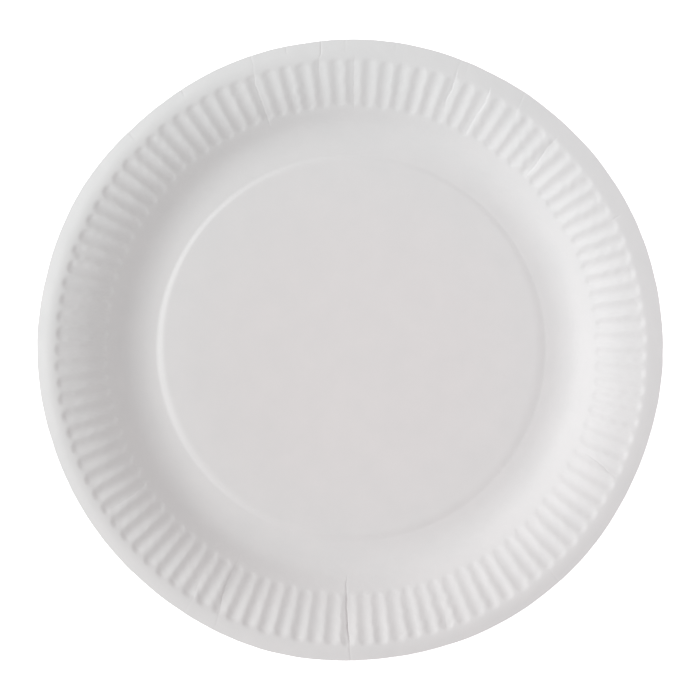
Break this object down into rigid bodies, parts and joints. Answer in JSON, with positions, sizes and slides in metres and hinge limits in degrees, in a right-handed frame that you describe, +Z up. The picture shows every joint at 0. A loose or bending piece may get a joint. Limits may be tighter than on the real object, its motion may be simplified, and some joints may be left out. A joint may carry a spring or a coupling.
{
  "type": "paper plate",
  "caption": "Round pressed paper plate with a flat raised centre, a creased foot ring, a sloping fluted wall and a plain rolled lip.",
  "frame": {"origin": "centre of the plate's round cut outline, in the plane it rests on", "axes": "+Z up out of the plate's hollow; +X to the right and +Y away from the viewer in the reference view, where the pressed form sits 0.8 mm off centre towards -Y"},
  "size_m": [0.23, 0.2299, 0.0177],
  "materials": {
    "board": "matte"
  },
  "bodies": {
    "root": {"plate": "board"}
  },
  "joints": []
}
